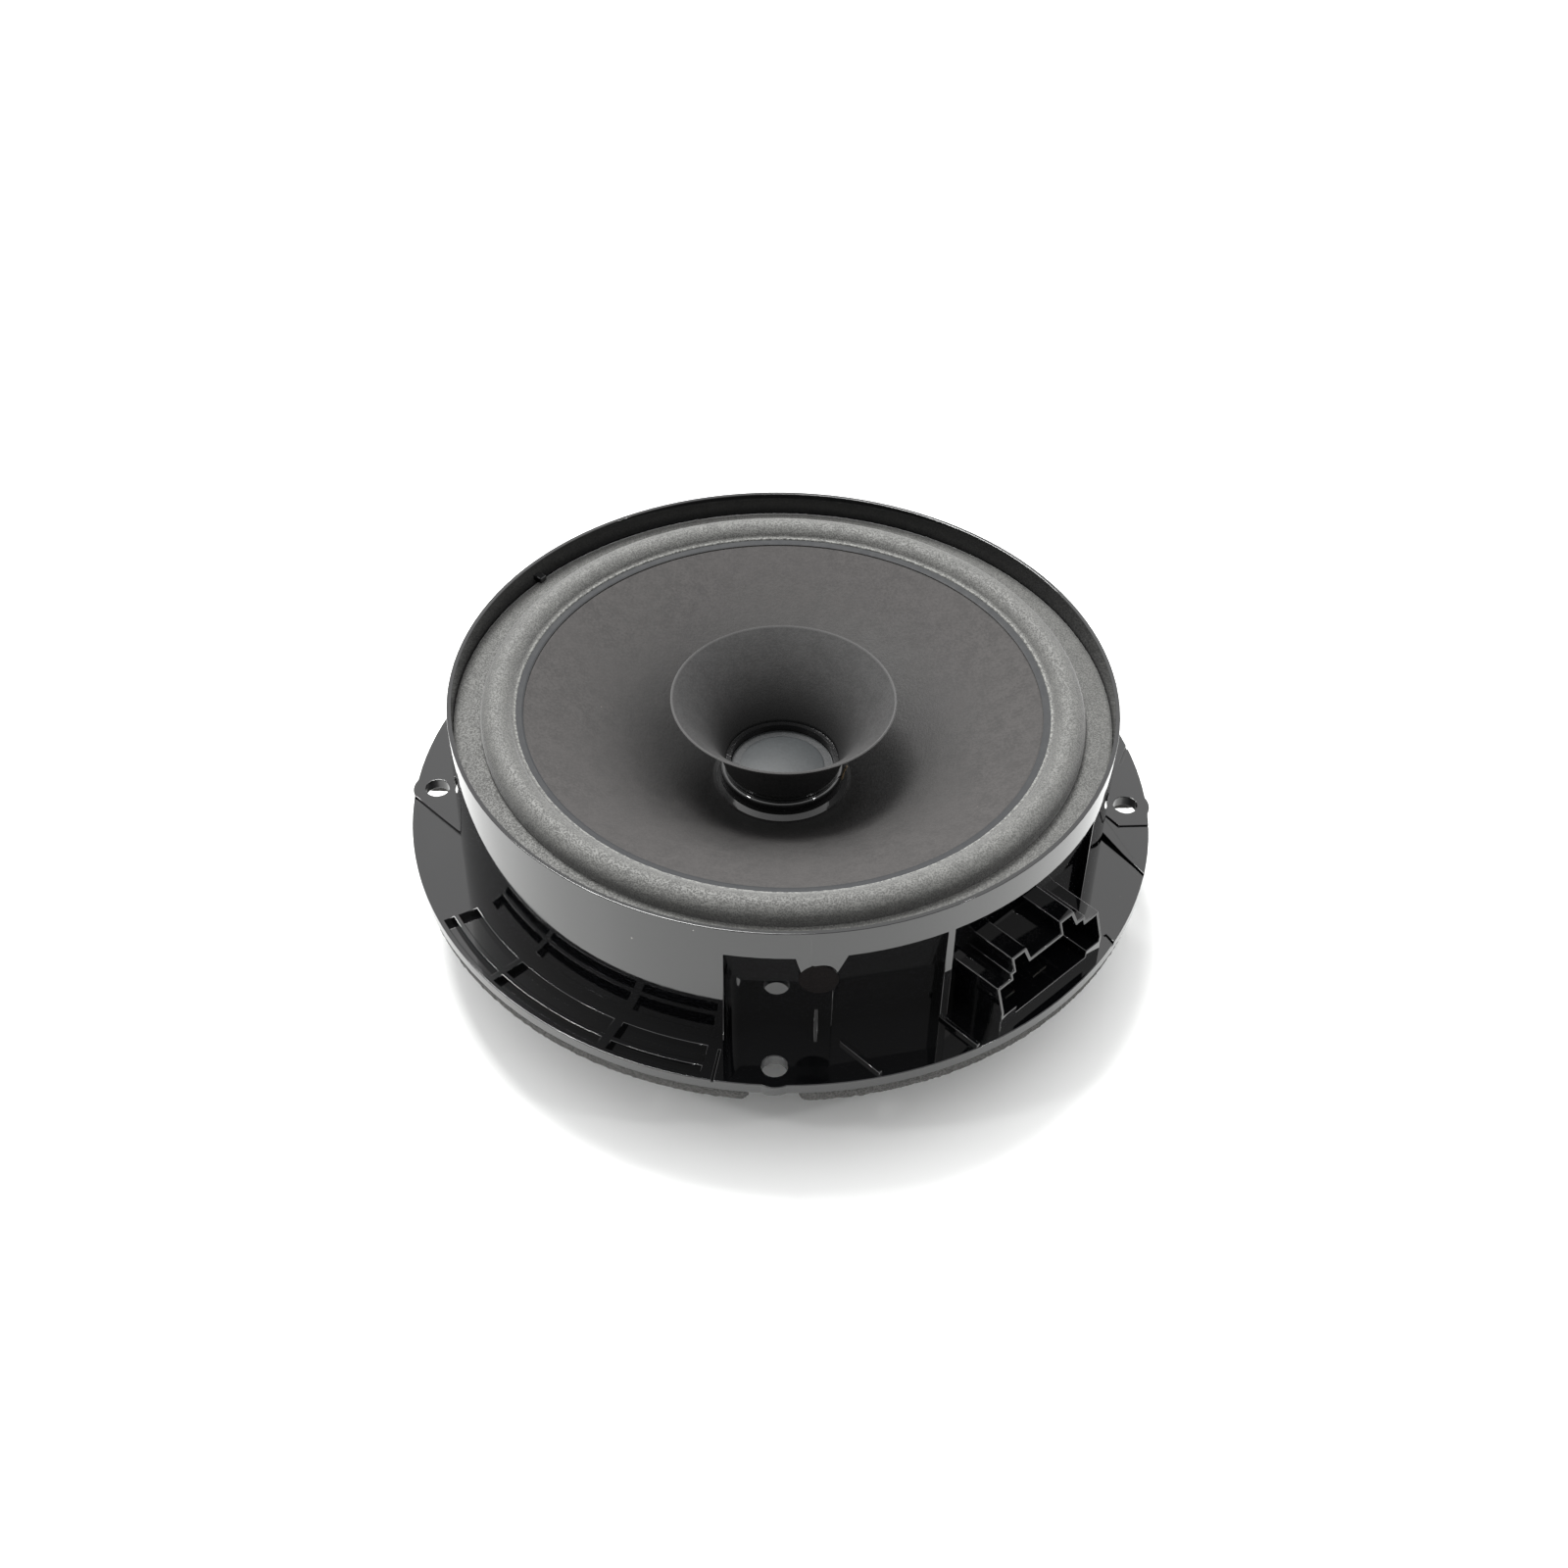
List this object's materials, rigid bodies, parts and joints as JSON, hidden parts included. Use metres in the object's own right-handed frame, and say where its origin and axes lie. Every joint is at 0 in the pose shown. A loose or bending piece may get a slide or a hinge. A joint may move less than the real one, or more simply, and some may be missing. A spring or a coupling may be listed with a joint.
{
  "type": "dual-cone door loudspeaker",
  "caption": "Round full-range car door loudspeaker with a raised ring, foam surround, paper cone, whizzer cone and a side connector socket.",
  "frame": {"origin": "centre of the screw-hole circle, on the rear face of the mounting flange", "axes": "+Z along the voice coil towards the listener, +X and +Y through the screw holes, the connector socket facing out between +X and -Y"},
  "size_m": [0.1938, 0.1938, 0.0679],
  "materials": {
    "basket_plastic": "glossy moulded black",
    "gasket_foam": "open-cell grey foam",
    "surround_foam": "speckled grey foam",
    "clear_glue": "cured adhesive",
    "spider_cloth": "resin-dipped yellow cloth",
    "zinc_steel": "zinc-plated steel",
    "ferrite": "ground dark grey ferrite",
    "screen_mesh": "black woven mesh",
    "cone_paper": "pressed dark paper",
    "black_glue": "glossy black adhesive",
    "whizzer_paper": "pressed black paper",
    "cap_paper": "smooth grey paper",
    "kapton": "amber film",
    "copper_wire": "enamelled copper wire",
    "collar_paper": "brown kraft paper",
    "tinned_brass": "tinned brass",
    "braided_tinsel": "braided copper tinsel"
  },
  "bodies": {
    "chassis": {"basket": "basket_plastic", "flange_gasket_back_right": "gasket_foam", "flange_gasket_back_left": "gasket_foam", "flange_gasket_front_left": "gasket_foam", "flange_gasket_front_right": "gasket_foam", "surround": "surround_foam", "surround_glue_ring": "clear_glue", "spider": "spider_cloth", "spider_glue_ring": "clear_glue", "top_plate": "zinc_steel", "magnet_glue_front": "clear_glue", "magnet_glue_rear": "clear_glue", "ferrite_magnet": "ferrite", "t_yoke": "zinc_steel", "vent_screen": "screen_mesh", "motor_rivets": "zinc_steel", "terminal_blade_positive": "tinned_brass", "terminal_blade_negative": "tinned_brass", "tinsel_lead_positive": "braided_tinsel", "tinsel_lead_negative": "braided_tinsel"},
    "cone_assembly": {"cone": "cone_paper", "cone_edge_glue": "black_glue", "whizzer_cone": "whizzer_paper", "dust_cap": "cap_paper", "neck_glue_bead": "black_glue", "voice_coil_former": "kapton", "voice_coil_winding": "copper_wire", "coil_collar": "collar_paper"}
  },
  "joints": [
    {"name": "cone_travel", "type": "slide", "parent": "chassis", "child": "cone_assembly", "axis": [0, 0, 1], "range_m": [-0.004, 0.004], "stiffness_N_per_m": 2000, "deforming": ["surround", "spider", "tinsel_lead_positive", "tinsel_lead_negative"]}
  ]
}
